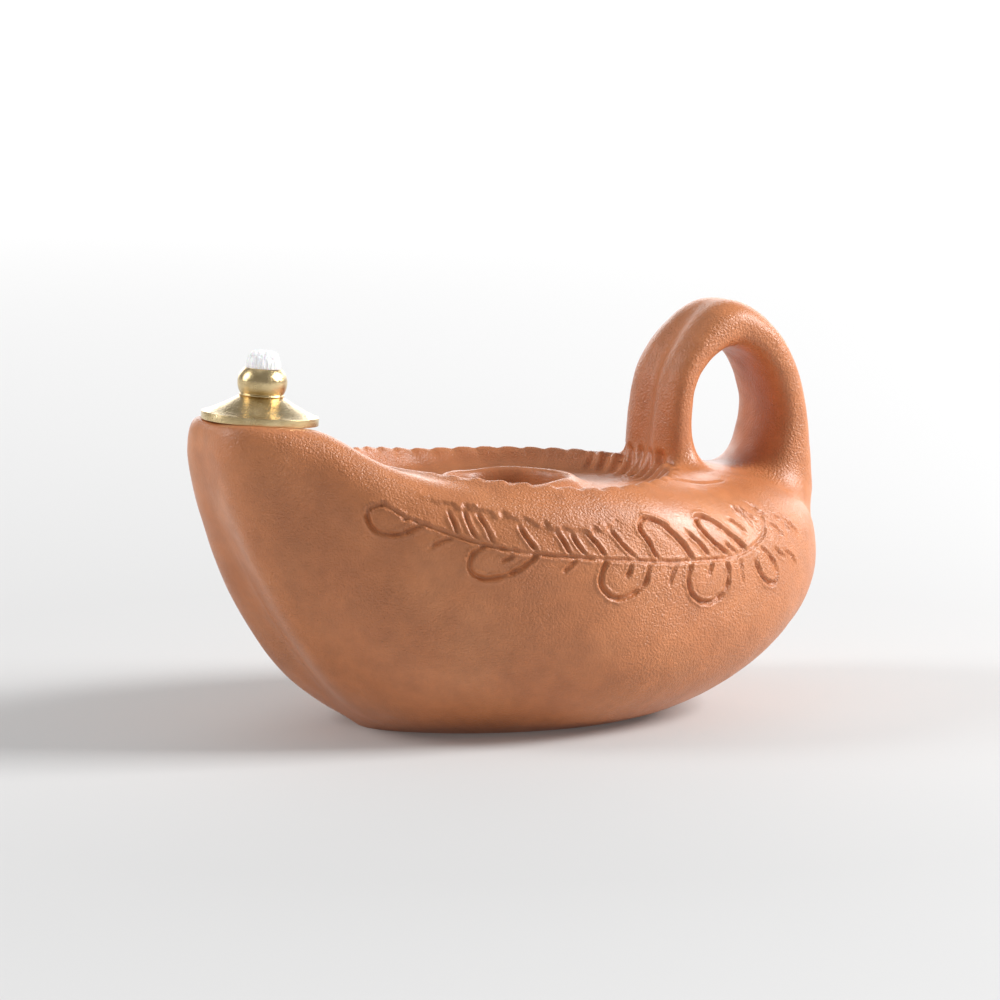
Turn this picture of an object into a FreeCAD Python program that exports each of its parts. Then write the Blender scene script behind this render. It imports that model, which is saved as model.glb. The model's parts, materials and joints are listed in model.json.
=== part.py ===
"""Closed clay oil lamp with a ring handle and a brass wick holder.

Millimetres. +Z is up, the nozzle points to -X and the handle to +X. The origin
is the middle of the bounding box's underside, where the lamp stands.

The clay body is described in half planes that turn about the filling hole.
An angle of 0 points to the nozzle and 180 to the handle, and each half plane
has a profile of (radius, height) points. The lamp is the same on both sides.
"""
import FreeCAD
import Part
import math
import os

# ---- driving dimensions -------------------------------------------------------
CENTRE_X = -0.25          # filling hole and discus, in X
WALL = 3.6                # clay thickness
FOOT_TOP = 3.8            # thickness of the floor
RIM_R = 31.2              # crest of the discus rim
FLOOR_Z = 43.0            # sunk floor of the discus
LIP_Z = 45.6              # top of the collar round the filling hole
LIP_R = 12.4              # crest of that collar
FILL_R = 10.5             # filling hole
CEILING_Z = 39.4          # underside of the discus, inside the lamp
CEILING_R = 24.0          # flat part of that underside

SEAT_X = -53.0            # wick hole on the nozzle, measured from the filling hole
SEAT_Z = 59.2             # clay under the middle of the wick holder
SEAT_TILT = 4.8           # degrees, the wick holder leans towards the handle
SEAT_R = 11.6             # flat that the wick holder rests on
WICK_HOLE_R = 4.4         # hole through the nozzle deck

DISC_R = 10.9             # brass disc
DISC_EDGE = 1.5           # height of its rim band
DISC_RISE = 3.3           # height of its cone
DISC_HOLLOW_R = 9.4       # recess turned into its underside
DISC_HOLLOW_H = 1.0       # depth of that recess
TUBE_R = 4.0              # brass tube, outside
TUBE_BORE_R = 3.25        # brass tube, inside
TUBE_DROP = 10.0          # length of tube below the disc
BALL_R = 4.63             # turned ball on top of the tube
BALL_H = 5.2              # height of that ball

WICK_R = 3.175            # quarter inch glass-fibre wick
WICK_PROUD = 3.0          # wick above the ball
WICK_STRAIGHT = 5.0       # wick hanging straight below the tube before its first corner
WICK_SLOPE_END = (-31.5, 10.3)   # corner above the floor, from the filling hole, and its height
WICK_END = (-8.0, 8.4)           # the wick's lower end
WICK_BENDS = (12.0, 21.0)        # bend radii at its two corners

HANDLE_GROOVE = 0.9       # depth of the groove along the strap's outer face
# Middle of the strap from the filling hole, its height, thickness and width, from the
# rim over the top and down to the back of the lamp.
HANDLE_PATH = (
    (34.0, 42.0, 11.0, 21.5), (33.8, 47.5, 9.2, 19.6), (33.9, 55.0, 7.6, 18.6), (35.6, 63.0, 7.4, 18.2),
    (40.6, 69.0, 8.4, 17.8), (47.2, 71.9, 9.9, 17.4), (53.6, 68.6, 8.6, 17.8), (57.5, 62.6, 8.2, 18.2),
    (59.6, 55.0, 8.6, 18.8), (59.3, 47.0, 11.6, 20.0), (58.4, 38.0, 14.2, 21.5),
)

# Profile points of the shoulder by angle: seam first, discus rim last.
SHOULDER = {
    0: ((64.7, 53.9), (64.8, 61.6), (61.5, 60.6), (52.0, 59.5), (42.4, 57.2), (37.0, 49.6), (RIM_R, 49.6)),
    7: ((64.7, 53.4), (64.8, 61.3), (59.8, 60.6), (50.6, 59.4), (41.9, 56.8), (36.8, 49.6), (RIM_R, 49.5)),
    13: ((60.4, 49.4), (60.5, 58.4), (55.8, 60.2), (48.5, 59.2), (41.3, 55.8), (36.4, 49.8), (RIM_R, 49.4)),
    19: ((54.0, 44.9), (54.2, 52.6), (52.0, 57.2), (46.5, 57.2), (40.8, 54.0), (36.2, 50.0), (RIM_R, 49.2)),
    28: ((49.6, 38.2), (49.8, 45.6), (47.6, 50.6), (43.8, 52.4), (39.3, 51.6), (35.0, 49.8), (RIM_R, 49.0)),
    45: ((43.8, 31.0), (44.0, 37.8), (42.9, 43.4), (40.4, 46.8), (37.2, 48.1), (34.0, 48.7), (RIM_R, 48.6)),
    90: ((40.0, 23.4), (40.0, 30.2), (39.2, 36.0), (37.6, 41.2), (35.5, 44.6), (33.3, 46.4), (RIM_R, 46.9)),
    130: ((46.8, 22.2), (46.8, 28.0), (46.0, 33.0), (43.6, 38.0), (40.0, 42.2), (35.5, 45.0), (RIM_R, 46.5)),
    155: ((57.8, 26.6), (57.8, 31.5), (56.0, 36.4), (50.5, 41.0), (43.5, 43.7), (37.0, 45.3), (RIM_R, 46.4)),
    180: ((64.5, 29.8), (64.5, 35.5), (61.6, 39.8), (54.0, 43.0), (46.0, 45.0), (38.0, 46.0), (RIM_R, 46.6)),
}
# Radius of the flat foot's edge by angle, then how the hull swells from it to the
# seam: two handles, as shares of the way out and up.
HULL = {
    0: ((31.9, 0.0), (0.33, 0.14), (0.91, 0.67)),
    20: ((28.7, 0.0), (0.67, 0.11), (1.03, 0.45)),
    45: ((24.1, 0.0), (0.63, 0.11), (1.04, 0.44)),
    90: ((21.6, 0.0), (0.59, 0.09), (1.03, 0.45)),
    135: ((24.4, 0.0), (0.54, 0.11), (1.01, 0.49)),
    180: ((26.6, 0.0), (0.52, 0.19), (1.00, 0.51)),
}

# ---- how finely the clay is described -------------------------------------------
HALF_TURN = [3.0 * i for i in range(10)] + [30.0 + 7.5 * i for i in range(20)]
TURN = HALF_TURN + [180.0] + [360.0 - angle for angle in reversed(HALF_TURN[1:])]
HULL_STEPS = [i / 8.0 for i in range(9)]
SHOULDER_STEPS = [i / 14.0 for i in range(15)]
DISCUS_STEPS = [i / 12.0 for i in range(13)]


# ---- curves -------------------------------------------------------------------
def solve_tridiagonal(lower, middle, upper, right):
    """Solve a tridiagonal system given as lists."""
    middle, right = list(middle), list(right)
    for i in range(1, len(right)):
        factor = lower[i] / middle[i - 1]
        middle[i] -= factor * upper[i - 1]
        right[i] -= factor * right[i - 1]
    result = [0.0] * len(right)
    result[-1] = right[-1] / middle[-1]
    for i in range(len(right) - 2, -1, -1):
        result[i] = (right[i] - upper[i] * result[i + 1]) / middle[i]
    return result


def spline(knots, values):
    """A cubic spline through (knot, value) pairs that is level at both ends, as a function."""
    gaps = [b - a for a, b in zip(knots, knots[1:])]
    rises = [(b - a) / gap for a, b, gap in zip(values, values[1:], gaps)]
    inner = range(1, len(knots) - 1)
    lower = [0.0] + [gaps[i] for i in inner] + [0.0]
    middle = [1.0] + [2.0 * (gaps[i - 1] + gaps[i]) for i in inner] + [1.0]
    upper = [0.0] + [gaps[i - 1] for i in inner] + [0.0]
    right = [0.0] + [3.0 * (gaps[i] * rises[i - 1] + gaps[i - 1] * rises[i]) for i in inner] + [0.0]
    slopes = solve_tridiagonal(lower, middle, upper, right)

    def value(x):
        i = max(j for j in range(len(gaps)) if x >= knots[j] or j == 0)
        u = (x - knots[i]) / gaps[i]
        start, end = values[i], values[i + 1]
        bend = slopes[i] * gaps[i] * u * (1 - u) ** 2 - slopes[i + 1] * gaps[i] * u ** 2 * (1 - u)
        return start + (end - start) * u * u * (3 - 2 * u) + bend

    return value


def table_splines(table):
    """Turn a table of points by angle into one (radius, height) pair of splines per column."""
    angles = sorted(table)
    columns = range(len(table[angles[0]]))
    return [tuple(spline(angles, [table[a][c][k] for a in angles]) for k in (0, 1)) for c in columns]


SHOULDER_SPLINES = table_splines(SHOULDER)
HULL_SPLINES = table_splines(HULL)


def shoulder_handles(angle):
    """Control points of the shoulder's profile at an angle, from the seam to the rim."""
    return [(radius(angle), height(angle)) for radius, height in SHOULDER_SPLINES]


def hull_handles(angle):
    """Control points of the hull's profile at an angle, from the foot to the seam."""
    foot = HULL_SPLINES[0][0](angle)
    seam_r, seam_z = shoulder_handles(angle)[0]
    shares = [(out(angle), up(angle)) for out, up in HULL_SPLINES[1:]]
    middle = [(foot + out * (seam_r - foot), up * seam_z) for out, up in shares]
    return [(foot, 0.0)] + middle + [(seam_r, seam_z)]


def discus_handles(angle):
    """Control points from the rim's crest down its wall, over the floor and up the collar."""
    rim_z = SHOULDER_SPLINES[-1][1](angle)
    half_way = (rim_z + FLOOR_Z) / 2.0
    return [
        (RIM_R, rim_z), (RIM_R - 1.2, rim_z - 0.2), (RIM_R - 2.4, half_way), (RIM_R - 4.4, FLOOR_Z + 0.2),
        (22.0, FLOOR_Z), (17.0, FLOOR_Z + 0.2), (LIP_R + 2.0, FLOOR_Z + 0.5), (LIP_R + 1.0, LIP_Z), (LIP_R, LIP_Z),
    ]


def inset(points, depth):
    """Move a profile's control points into the clay by a depth, along their normals."""
    result = []
    for i, (r, z) in enumerate(points):
        before, after = points[max(i - 1, 0)], points[min(i + 1, len(points) - 1)]
        dr, dz = after[0] - before[0], after[1] - before[1]
        length = math.hypot(dr, dz)
        result.append((r - depth * dz / length, z + depth * dr / length))
    return result


def wall_depth(angle):
    """Wall thickness measured in the half plane, deeper where the wall runs aslant to it."""
    step = 1.0
    ahead, behind = (SHOULDER_SPLINES[0][0](min(max(angle + d, 0.0), 180.0)) for d in (step, -step))
    here = SHOULDER_SPLINES[0][0](angle)
    slant = (ahead - behind) / (2.0 * math.radians(step)) / here
    return WALL * min(math.hypot(1.0, slant), 1.6)


def inner_hull_handles(angle):
    """Control points of the hull's inside, from the reservoir's floor to the seam."""
    depth = wall_depth(angle)
    points = inset(hull_handles(angle), depth)
    seam_r, seam_z = shoulder_handles(angle)[0]
    points[0] = (hull_handles(angle)[0][0] - 0.6 * depth, FOOT_TOP)
    points[1] = (points[1][0], max(points[1][1], FOOT_TOP + 0.5))
    points[-1] = (seam_r - depth, seam_z)
    return points


def inner_shoulder_handles(angle):
    """Control points of the shoulder's inside, from the seam to the flat ceiling."""
    depth = wall_depth(angle)
    points = inset(shoulder_handles(angle), depth)[:-1]
    seam_r, seam_z = shoulder_handles(angle)[0]
    points[0] = (seam_r - depth, seam_z)
    points[1] = (points[1][0], min(points[1][1], points[2][1]))
    return points + [(RIM_R - 1.5, CEILING_Z + 2.0), (CEILING_R + 3.0, CEILING_Z), (CEILING_R, CEILING_Z)]


def bspline_point(controls, t, degree=3):
    """A point of the clamped uniform B-spline with these (radius, height) control points."""
    spans = len(controls) - degree
    knots = [0.0] * degree + [i / spans for i in range(spans + 1)] + [1.0] * degree
    k = degree + min(int(t * spans), spans - 1)
    work = [controls[k - degree + j] for j in range(degree + 1)]
    for level in range(1, degree + 1):
        for j in range(degree, level - 1, -1):
            low = knots[k - degree + j]
            u = (t - low) / (knots[k + 1 + j - level] - low)
            work[j] = tuple((1 - u) * a + u * b for a, b in zip(work[j - 1], work[j]))
    return work[degree]


def clay_point(angle, radius, height):
    """A point of the lamp from its angle, radius and height."""
    turn = math.radians(angle)
    return FreeCAD.Vector(CENTRE_X - radius * math.cos(turn), radius * math.sin(turn), height)


# ---- solids -------------------------------------------------------------------
def profile_row(angle, stretches):
    """Points of one half plane's profile, through its stretches one after another."""
    fold = min(angle, 360.0 - angle)
    row = []
    for handles, steps in stretches:
        points = [bspline_point(handles(fold), t) for t in steps]
        row += [clay_point(angle, r, z) for r, z in (points[1:] if row else points)]
    return row


def skin(*stretches):
    """A smooth surface, closed round the lamp, through stretches of (handles, steps)."""
    rows = [profile_row(angle, stretches) for angle in TURN]
    rings = []
    for points in zip(*rows):
        ring = Part.BSplineCurve()
        ring.interpolate(Points=list(points), PeriodicFlag=True, Parameters=TURN + [360.0])
        rings.append(ring)
    columns = []
    for poles in zip(*(ring.getPoles() for ring in rings)):
        column = Part.BSplineCurve()
        column.interpolate(Points=list(poles), Parameters=[float(i) for i in range(len(poles))])
        columns.append(column)
    surface = Part.BSplineSurface()
    surface.buildFromPolesMultsKnots(
        [column.getPoles() for column in columns], rings[0].getMultiplicities(), columns[0].getMultiplicities(),
        rings[0].getKnots(), columns[0].getKnots(), True, False, rings[0].Degree, columns[0].Degree)
    return surface


def end_wire(surface, last):
    """The closed curve at the start or the end of a skin's profiles."""
    parameter = surface.bounds()[3 if last else 2]
    return Part.Wire([surface.vIso(parameter).toShape()])


def shell_solid(outer, inner, close_outer, close_inner):
    """The clay between two skins, whose seam ends are joined and whose other ends are flat."""
    faces = [outer.toShape(), inner.toShape()]
    faces.append(Part.Face(end_wire(outer, close_outer)))
    faces.append(Part.Face(end_wire(inner, close_inner)))
    rings = (end_wire(outer, not close_outer), end_wire(inner, not close_inner))
    faces.append(Part.makeRuledSurface(*rings))
    return solid_from(faces)


def solid_from(faces):
    """Sew faces into one solid with its faces outwards."""
    shape = Part.Compound(faces)
    shape.sewShape(0.01)
    solid = Part.Solid(shape.Shells[0])
    if solid.Volume < 0:
        solid.reverse()
    return solid


def seat_axis():
    """Where the wick holder sits and the direction in which it leans and lifts."""
    tilt = math.radians(SEAT_TILT)
    return FreeCAD.Vector(CENTRE_X + SEAT_X, 0, SEAT_Z), FreeCAD.Vector(math.sin(tilt), 0, math.cos(tilt))


def turned(profile):
    """A solid turned from a closed (radius, height) outline about the wick holder's axis."""
    origin, direction = seat_axis()
    points = [FreeCAD.Vector(r, 0, z) for r, z in profile]
    face = Part.Face(Part.makePolygon(points + points[:1]))
    solid = face.revolve(FreeCAD.Vector(), FreeCAD.Vector(0, 0, 1), 360)
    solid.rotate(FreeCAD.Vector(), FreeCAD.Vector(0, 1, 0), SEAT_TILT)
    solid.translate(origin)
    return Part.Solid(solid.Shells[0])


def lower_bowl():
    """The lower half of the lamp, from its flat foot to the seam."""
    outer = skin((hull_handles, HULL_STEPS))
    inner = skin((inner_hull_handles, HULL_STEPS))
    return shell_solid(outer, inner, False, False)


def upper_outside():
    """Outer skin of the upper half: shoulder, rim, discus and collar."""
    return skin((shoulder_handles, SHOULDER_STEPS), (discus_handles, DISCUS_STEPS))


def upper_shell():
    """The upper half: shoulder, nozzle, sunk discus, filling hole and wick hole."""
    inner = skin((inner_shoulder_handles, SHOULDER_STEPS))
    solid = shell_solid(upper_outside(), inner, True, True)
    centre = FreeCAD.Vector(CENTRE_X, 0, 0)
    filling_hole = Part.makeCylinder(FILL_R, 2 * LIP_Z, centre)
    origin, direction = seat_axis()
    wick_hole = Part.makeCylinder(WICK_HOLE_R, 4 * WALL, origin - direction * (3 * WALL), direction)
    seat = Part.makeCylinder(SEAT_R, 2 * WALL, origin, direction)
    return solid.cut(filling_hole).cut(wick_hole).cut(seat)


def clay_volume():
    """Everything inside the lamp's outer skins, used to trim the handle."""
    hull = skin((hull_handles, HULL_STEPS))
    faces = [hull.toShape(), Part.Face(end_wire(hull, False))]
    upper = upper_outside()
    faces += [upper.toShape(), Part.Face(end_wire(upper, True))]
    return solid_from(faces)


def strap_section(spot, thickness, width, direction):
    """One closed section of the strap, square to its path, with a groove in its outer face."""
    along = direction.normalize()
    outward = along.cross(FreeCAD.Vector(0, 1, 0))
    points = []
    for step in range(20):
        turn = 2 * math.pi * step / 20
        across = math.copysign(abs(math.cos(turn)) ** 0.7, math.cos(turn))
        out = math.copysign(abs(math.sin(turn)) ** 0.7, math.sin(turn))
        depth = HANDLE_GROOVE * math.exp(-(across / 0.28) ** 2) if out > 0 else 0.0
        offset = outward * (out * thickness / 2 - depth)
        points.append(spot + offset + FreeCAD.Vector(0, across * width / 2, 0))
    curve = Part.BSplineCurve()
    curve.interpolate(Points=points, PeriodicFlag=True)
    return Part.Wire([curve.toShape()])


def handle():
    """The ring handle, trimmed to the clay that it stands on."""
    spots = [FreeCAD.Vector(CENTRE_X + x, 0, z) for x, z, _, _ in HANDLE_PATH]
    sections = []
    for i, (_, _, thickness, width) in enumerate(HANDLE_PATH):
        direction = spots[min(i + 1, len(spots) - 1)] - spots[max(i - 1, 0)]
        sections.append(strap_section(spots[i], thickness, width, direction))
    strap = Part.makeLoft(sections, True)
    pieces = strap.cut(clay_volume()).Solids
    return max(pieces, key=lambda piece: piece.BoundBox.ZMax)


def wick_disc():
    """The brass disc: a low cone with a rim band, hollow underneath."""
    return turned([
        (TUBE_R, DISC_HOLLOW_H), (DISC_HOLLOW_R - DISC_HOLLOW_H, DISC_HOLLOW_H), (DISC_HOLLOW_R, 0.0),
        (DISC_R, 0.0), (DISC_R, DISC_EDGE), (TUBE_R, DISC_EDGE + DISC_RISE),
    ])


def wick_tube():
    """The brass tube pressed through the disc, with a ball turned on its top."""
    base = DISC_EDGE + DISC_RISE
    top_r = TUBE_BORE_R + 0.35
    profile = [(TUBE_BORE_R, -TUBE_DROP), (TUBE_R, -TUBE_DROP), (TUBE_R, base)]
    waist = BALL_H / 2
    low, high = math.acos(TUBE_R / BALL_R), math.acos(top_r / BALL_R)
    for step in range(13):
        turn = -low + (low + high) * step / 12
        height = base + waist * (1 + math.sin(turn) / (math.sin(high) if turn > 0 else math.sin(low)))
        profile.append((BALL_R * math.cos(turn), height))
    profile.append((TUBE_BORE_R, base + BALL_H))
    return turned(profile)


def wick_corners():
    """The corners of the wick's path, from its top to its lower end."""
    origin, direction = seat_axis()
    top = origin + direction * (DISC_EDGE + DISC_RISE + BALL_H + WICK_PROUD)
    under = origin - direction * (TUBE_DROP + WICK_STRAIGHT)
    rest = [FreeCAD.Vector(CENTRE_X + x, 0, z) for x, z in (WICK_SLOPE_END, WICK_END)]
    return [top, under] + rest


def rounded_path(corners, radii):
    """A wire of straight runs joined by tangent arcs."""
    edges, start = [], corners[0]
    for i, radius in enumerate(radii):
        corner, after = corners[i + 1], corners[i + 2]
        back, on = (start - corner).normalize(), (after - corner).normalize()
        half = back.getAngle(on) / 2
        reach = radius / math.tan(half)
        middle = corner + (back + on).normalize() * (radius / math.sin(half) - radius)
        edges.append(Part.LineSegment(start, corner + back * reach).toShape())
        edges.append(Part.Arc(corner + back * reach, middle, corner + on * reach).toShape())
        start = corner + on * reach
    edges.append(Part.LineSegment(start, corners[-1]).toShape())
    return Part.Wire(edges)


def wick():
    """The whole wick: up through the tube, down the nozzle and along above the floor."""
    corners = wick_corners()
    path = rounded_path(corners, WICK_BENDS)
    direction = corners[1] - corners[0]
    section = Part.Wire([Part.makeCircle(WICK_R, corners[0], direction)])
    solid = path.makePipeShell([section], True, True)
    print("wick length %.1f mm, volume ratio %.4f"
          % (path.Length, solid.Volume / (math.pi * WICK_R ** 2 * path.Length)))
    return solid


def main():
    os.makedirs("parts", exist_ok=True)
    for make in (lower_bowl, upper_shell, handle, wick_disc, wick_tube, wick):
        shape = make()
        print(make.__name__, shape.isValid(), len(shape.Solids), "%.0f mm3" % shape.Volume, shape.BoundBox)
        shape.exportStep("parts/%s.step" % make.__name__)


if __name__ == "__main__":
    main()
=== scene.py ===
"""The looks of a closed clay oil lamp with a ring handle and a brass wick holder.

The clay's smooth shape is read from the CAD frame by rays cast in half planes
about the filling hole. Angle 0 points to the nozzle (-X) and 180 to the handle
(+X), and both sides of the lamp are alike. What the potter added by hand comes on
top: the fluted rim, the scratched leaf row, the seam down the bow and the handle's
pressed foot. Lengths named here are in millimetres, and meshes are in metres.
"""
import json
import math

import bpy
import numpy as np
from mathutils import Matrix, Vector
from mathutils.bvhtree import BVHTree


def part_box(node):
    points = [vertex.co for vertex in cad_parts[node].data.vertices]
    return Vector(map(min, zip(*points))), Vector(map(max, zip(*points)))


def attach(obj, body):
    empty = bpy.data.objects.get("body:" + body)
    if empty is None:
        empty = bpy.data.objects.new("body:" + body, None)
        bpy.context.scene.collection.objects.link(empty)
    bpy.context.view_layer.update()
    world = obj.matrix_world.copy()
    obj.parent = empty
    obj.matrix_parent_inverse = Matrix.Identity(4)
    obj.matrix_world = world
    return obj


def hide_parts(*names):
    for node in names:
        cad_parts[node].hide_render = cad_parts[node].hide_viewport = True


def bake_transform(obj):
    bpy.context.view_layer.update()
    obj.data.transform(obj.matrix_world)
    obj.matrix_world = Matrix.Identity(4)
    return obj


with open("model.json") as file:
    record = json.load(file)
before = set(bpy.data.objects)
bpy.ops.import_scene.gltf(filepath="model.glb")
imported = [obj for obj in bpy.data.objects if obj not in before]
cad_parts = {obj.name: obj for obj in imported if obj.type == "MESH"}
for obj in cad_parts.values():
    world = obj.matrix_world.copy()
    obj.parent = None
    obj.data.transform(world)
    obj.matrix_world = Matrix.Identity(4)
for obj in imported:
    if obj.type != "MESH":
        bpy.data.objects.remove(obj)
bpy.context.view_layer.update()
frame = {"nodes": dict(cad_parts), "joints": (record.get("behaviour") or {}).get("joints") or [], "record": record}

MM = 0.001
rng = np.random.default_rng(7)

# ---- places from the frame
hole_mount = next(m for m in frame["record"]["mounts"] if m["name"] == "filling_hole")
CENTRE_X = hole_mount["pos_m"][0] / MM                 # middle of the filling hole
HOLE_R = hole_mount["dims"]["r_mm"]
LIP_Z = hole_mount["pos_m"][2] / MM + hole_mount["dims"]["length_mm"] / 2
CEILING_Z = hole_mount["pos_m"][2] / MM - hole_mount["dims"]["length_mm"] / 2
lift = next(j for j in frame["joints"] if j["name"] == "holder_lift")
SEAT_AXIS = Vector(lift["axis"]).normalized()
disc_low, disc_high = (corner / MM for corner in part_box("wick_disc"))
DISC_R = disc_high.y
SEAT = Vector((disc_low.x + DISC_R * SEAT_AXIS.z, 0, disc_low.z + DISC_R * SEAT_AXIS.x))

# ---- the clay's own measures
RIM_R = 31.2             # crest of the rim round the sunk top
FLOOR_R = 17.0           # where the sunk floor starts to rise to the collar
COLLAR_SHADOW = 2.5      # strip of floor that the collar hides from the rays
WICK_HOLE_R = 4.4
SPINE_R = (18.0, 24.0)   # radius that the rays start from: at the sides, and added at the ends
SPINE_Z = 30.0
COLUMNS = 720            # half planes in a full turn
HULL_ROWS, SHOULDER_ROWS, WALL_ROWS, FLOOR_ROWS, COLLAR_ROWS = 62, 88, 15, 5, 14
INNER_ROWS = 10
OUTER_RAYS = (-128, 158, 760)    # lowest and highest slope in degrees, and how many rays
INNER_RAYS = (-150, 164, 300)
INNER_STEP = 4           # only every fourth half plane is read inside
FAR = 120.0              # beyond the clay in every direction
FACET = 0.8              # size of the CAD mesh's facets, which are smoothed away
FLOOR_Z = 43.2           # the sunk floor beside the collar
COLLAR_TOP = 2.6         # the collar's crest above it, in the shape below
COLLAR_SHAPE = [(FLOOR_R, 0), (15.6, 0.35), (14.3, 1.15), (13.3, 2.1), (12.2, COLLAR_TOP), (11.2, 2.3),
                (10.7, 1.3), (HOLE_R, 0)]

FLUTES, FLUTE_DEPTH = 43, 0.34   # scallops round the rim
CRIMPS, CRIMP_DEPTH = 54, 0.95   # finer crimps by the handle's foot, as if they went all round
CRIMP_HALF_ANGLE = 27.0      # degrees each side of the handle that are crimped
PLAIN_NECK = (22, 50)        # degrees from the nozzle over which the scallops begin
FLUTE_LEAN = 0.55            # how much flutes and crimps slant as they rise
COLLAR_SWAY = 0.4            # how uneven the pinched collar is
CREST_RISE = (1.15, 0.3)     # clay drawn up at the rim's crest: by the neck, and elsewhere
CREST_FADE = (50, 90)        # degrees from the nozzle between the two


# ---- small tools
def smooth(values, spread, axis, kind):
    """Gaussian filter along an axis. Kind is even or odd, for how the ends are mirrored."""
    reach = int(4 * spread) + 1
    kernel = np.exp(-0.5 * (np.arange(-reach, reach + 1) / spread) ** 2)
    width = [(reach, reach) if a == axis else (0, 0) for a in range(values.ndim)]
    padded = np.pad(values, width, mode="reflect", reflect_type=kind)
    return np.apply_along_axis(np.convolve, axis, padded, kernel / kernel.sum(), mode="valid")


def ripple(points, wavelength, seed, waves=9):
    """A smooth random field from -1 to 1 with about this wavelength, for points in mm."""
    draw = np.random.default_rng(seed)
    directions = draw.normal(size=(waves, 3))
    directions /= np.linalg.norm(directions, axis=1)[:, None]
    phases = draw.uniform(0, 2 * math.pi, waves)
    lengths = wavelength * draw.uniform(0.7, 1.4, waves)
    total = sum(np.sin(2 * math.pi * (points @ direction) / length + phase)
                for direction, length, phase in zip(directions, lengths, phases))
    return total / math.sqrt(waves)


def step_up(x, low, high):
    """0 below low, 1 above high and smooth between."""
    t = np.clip((np.asarray(x, float) - low) / (high - low), 0, 1)
    return t * t * (3 - 2 * t)


def catmull(points, per_span=12):
    """A smooth curve through control points."""
    p = np.asarray(points, float)
    p = np.vstack([2 * p[0] - p[1], p, 2 * p[-1] - p[-2]])
    t = np.linspace(0, 1, per_span, endpoint=False)[:, None]
    spans = []
    for a, b, c, d in zip(p, p[1:], p[2:], p[3:]):
        spans.append(0.5 * (2 * b + (c - a) * t + (2 * a - 5 * b + 4 * c - d) * t ** 2
                            + (3 * b - a - 3 * c + d) * t ** 3))
    return np.vstack(spans + [p[-2:-1]])


def run_length(points):
    """Length along a line of points at each of them."""
    return np.concatenate([[0], np.cumsum(np.linalg.norm(np.diff(points, axis=0), axis=1))])


def new_object(name, points_mm, faces, material, normals=None):
    """A mesh object from points in mm, with its own vertex normals where they are given."""
    mesh = bpy.data.meshes.new(name)
    mesh.from_pydata((np.asarray(points_mm) * MM).tolist(), [], faces)
    mesh.validate()
    mesh.materials.append(material)
    mesh.polygons.foreach_set("use_smooth", [True] * len(mesh.polygons))
    if normals is not None:
        mesh.normals_split_custom_set_from_vertices(normals.tolist())
    piece = bpy.data.objects.new(name, mesh)
    bpy.context.scene.collection.objects.link(piece)
    return piece


def paint(piece, name, values):
    """Store one number per vertex for the materials to read."""
    layer = piece.data.attributes.new(name, "FLOAT", "POINT")
    layer.data.foreach_set("value", np.asarray(values, np.float32))


def finish_piece(piece, body, slot, *nodes):
    """Let a piece ride on a body in place of CAD nodes; its slot argument is not used."""
    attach(piece, body)
    if nodes:
        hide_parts(*nodes)


# ---- reading the clay from the frame
def clay_tree():
    """The CAD clay halves as one ray target, and how many of its faces are the lower half's."""
    points, faces, counts = [], [], []
    for node in ("lower_bowl", "upper_shell"):
        mesh = frame["nodes"][node].data
        start = len(points)
        points += [v.co / MM for v in mesh.vertices]
        faces += [[start + i for i in face.vertices] for face in mesh.polygons]
        counts.append(len(faces))
    return BVHTree.FromPolygons(points, faces), counts[0]


CLAY, LOWER_FACES = clay_tree()
HALF_TURN = np.linspace(0, 180, COLUMNS // 2 + 1)


def beside_wick_hole(spot):
    """True for points on the wall of the wick hole, which the profiles leave out."""
    offset = spot - SEAT
    along = offset.dot(SEAT_AXIS)
    return abs(along) < 8 and (offset - SEAT_AXIS * along).length < WICK_HOLE_R + 0.1


def clay_profile(angle, slopes, inside):
    """Where rays in one half plane meet the clay: (radius, height, is upper half) rows."""
    turn = math.radians(angle)
    outward = Vector((-math.cos(turn), math.sin(turn), 0))
    start_r = SPINE_R[0] + SPINE_R[1] * math.cos(turn) ** 2
    start = Vector((CENTRE_X, 0, SPINE_Z)) + outward * start_r
    rows = []
    for slope in slopes:
        ray = outward * math.cos(slope) + Vector((0, 0, math.sin(slope)))
        if inside:
            spot, _, index, _ = CLAY.ray_cast(start, ray)
        else:
            spot, _, index, _ = CLAY.ray_cast(start + ray * FAR, -ray, FAR)
        if spot is not None and not beside_wick_hole(spot):
            radius = (spot.x - CENTRE_X) * outward.x + spot.y * outward.y
            rows.append((radius, spot.z, index >= LOWER_FACES))
    return np.array(rows)


def resampled(profile, rows):
    """A profile's points again, spaced to divide its length into equal rows."""
    run = run_length(profile)
    stops = np.linspace(0, 1, rows + 1) * run[-1]
    return np.stack([np.interp(stops, run, profile[:, k]) for k in (0, 1)], axis=1)


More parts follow.
